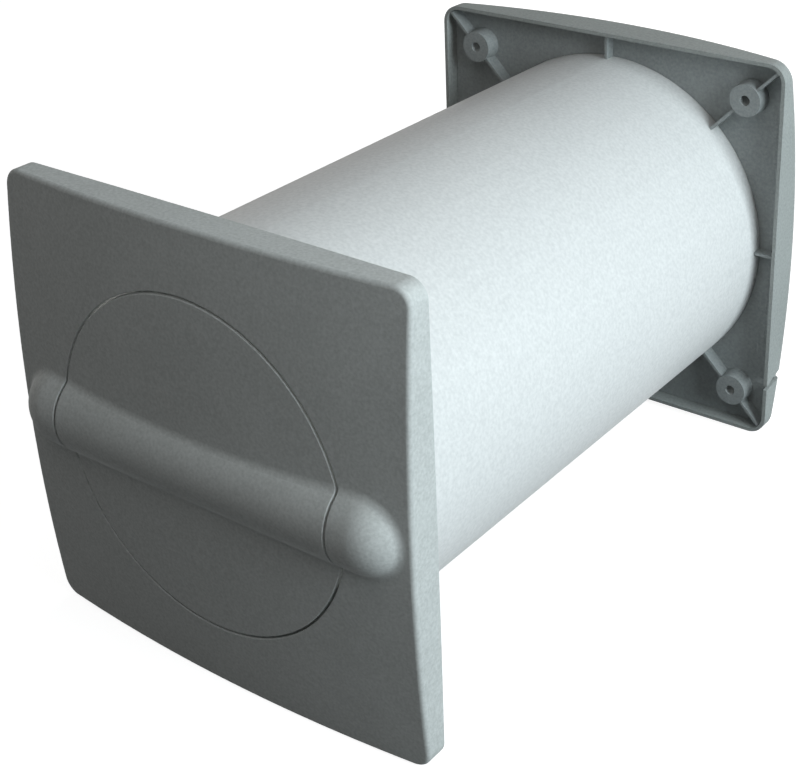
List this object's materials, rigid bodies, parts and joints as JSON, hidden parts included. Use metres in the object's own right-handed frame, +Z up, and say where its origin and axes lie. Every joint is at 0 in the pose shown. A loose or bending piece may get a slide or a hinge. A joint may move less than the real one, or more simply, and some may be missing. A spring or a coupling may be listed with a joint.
{
  "type": "wall vent sleeve",
  "caption": "Through-wall duct sleeve: a white plastic pipe between crowned square covers, with a round flap that turns on an axle in the outer cover's ridge.",
  "frame": {"origin": "on the pipe's axis, in the plane where the outer cover's rim meets the outside face of the wall", "axes": "+Y along the pipe from the outside into the room, +Z up, +X to the right seen from outside"},
  "size_m": [0.1774, 0.2844, 0.1774],
  "materials": {
    "grey_plastic": "silver-grey moulded plastic with a fine matte grain",
    "white_plastic": "white extruded plastic pipe with a soft satin grain",
    "steel": "plain drawn steel"
  },
  "bodies": {
    "sleeve": {"outer_cover": "grey_plastic", "wall_tube": "white_plastic", "inner_frame": "grey_plastic", "inner_cover": "grey_plastic", "bearing_cap_left": "grey_plastic", "bearing_cap_right": "grey_plastic", "cap_screws": "steel"},
    "flap": {"flap": "grey_plastic", "flap_axle": "steel"}
  },
  "joints": [
    {"name": "flap_hinge", "type": "hinge", "parent": "sleeve", "child": "flap", "pos_m": [0, -0.0065, 0.0026], "axis": [-1, 0, 0], "range_deg": [0, 90]}
  ]
}
